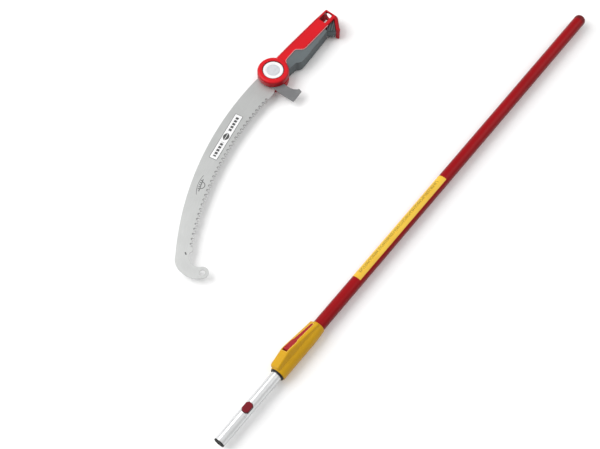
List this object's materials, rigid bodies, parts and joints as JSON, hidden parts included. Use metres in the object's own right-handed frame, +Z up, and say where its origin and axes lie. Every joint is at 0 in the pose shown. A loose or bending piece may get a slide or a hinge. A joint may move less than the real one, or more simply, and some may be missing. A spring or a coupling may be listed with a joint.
{
  "type": "telescoping pole saw",
  "caption": "Telescoping pole with a cam clamp and a spring button, beside its detachable saw head with a curved hooked blade and a pivoting hub.",
  "frame": {"origin": "centre of the inner tube's open end, where a tool head plugs on", "axes": "+X along the pole to its far end, +Y from the pole to the saw head lying beside it, +Z up"},
  "size_m": [1.1622, 0.4573, 0.043],
  "materials": {
    "red_tube": "gloss powder coat",
    "dark_red_plastic": "moulded",
    "bare_aluminium": "satin anodised",
    "black_plastic": "moulded",
    "spring_steel": "plain",
    "button_red": "moulded",
    "housing_yellow": "moulded",
    "bright_steel": "zinc plated",
    "lever_red": "moulded",
    "shoe_rubber": "plain",
    "label_yellow": "printed film",
    "handle_red": "moulded",
    "grip_grey": "soft overmould",
    "hub_grey": "moulded",
    "blade_steel": "ground",
    "hook_grey": "dark coat"
  },
  "bodies": {
    "pole": {"outer_tube": "red_tube", "end_cap": "dark_red_plastic", "lock_housing_left": "housing_yellow", "lock_housing_right": "housing_yellow", "housing_screws": "bright_steel", "housing_rivets": "bright_steel", "lever_pin": "bright_steel", "guide_bush": "black_plastic", "mouth_seal": "black_plastic", "tube_label": "label_yellow"},
    "inner_tube": {"inner_tube": "bare_aluminium", "tool_end_plug": "black_plastic", "rear_guide": "black_plastic", "button_spring": "spring_steel"},
    "tool_button": {"tool_button": "button_red"},
    "lock_lever": {"lock_lever": "lever_red"},
    "clamp_shoe": {"clamp_shoe": "shoe_rubber"},
    "saw_handle": {"handle_shell_top": "handle_red", "handle_shell_bottom": "handle_red", "grip_insert": "grip_grey", "handle_screws": "bright_steel", "pivot_sleeve": "bright_steel", "pivot_bolt": "bright_steel", "pivot_nut": "bright_steel", "hub_back_cap": "hub_grey", "hub_spring": "spring_steel"},
    "hub_button": {"hub_button": "hub_grey", "lock_ring": "bright_steel"},
    "blade": {"saw_blade": "blade_steel", "blade_ring": "bright_steel", "bark_hook": "hook_grey", "hook_rivets": "bright_steel", "ring_rivets": "bright_steel"}
  },
  "joints": [
    {"name": "tube_extend", "type": "slide", "parent": "pole", "child": "inner_tube", "axis": [-1, 0, 0], "range_m": [0, 0.78]},
    {"name": "button_press", "type": "slide", "parent": "inner_tube", "child": "tool_button", "axis": [0, 0, -1], "range_m": [0, 0.0032], "stiffness_N_per_m": 1200, "springref_m": -0.0025, "deforming": ["button_spring"]},
    {"name": "lever_open", "type": "hinge", "parent": "pole", "child": "lock_lever", "pos_m": [0.2, 0.01061, 0.01515], "axis": [0, -0.8192, 0.5736], "range_deg": [0, 80]},
    {"name": "shoe_lift", "type": "slide", "parent": "pole", "child": "clamp_shoe", "axis": [0, 0.5736, 0.8192], "range_m": [0, 0.00046]},
    {"name": "head_attach", "type": "slide", "parent": "pole", "child": "saw_handle", "axis": [-0.9658, -0.2593, 0], "range_m": [0, 1.58109]},
    {"name": "blade_swing", "type": "hinge", "parent": "saw_handle", "child": "blade", "pos_m": [0.65, 0.41, 0], "axis": [0, 0, 1], "range_deg": [-30, 30]},
    {"name": "hub_press", "type": "slide", "parent": "saw_handle", "child": "hub_button", "axis": [0, 0, -1], "range_m": [0, 0.004], "stiffness_N_per_m": 1500, "springref_m": -0.002, "deforming": ["hub_spring"]}
  ],
  "couplings": [
    {"joint": "shoe_lift", "follows": "lever_open", "m_per_rad": 0.00032}
  ]
}
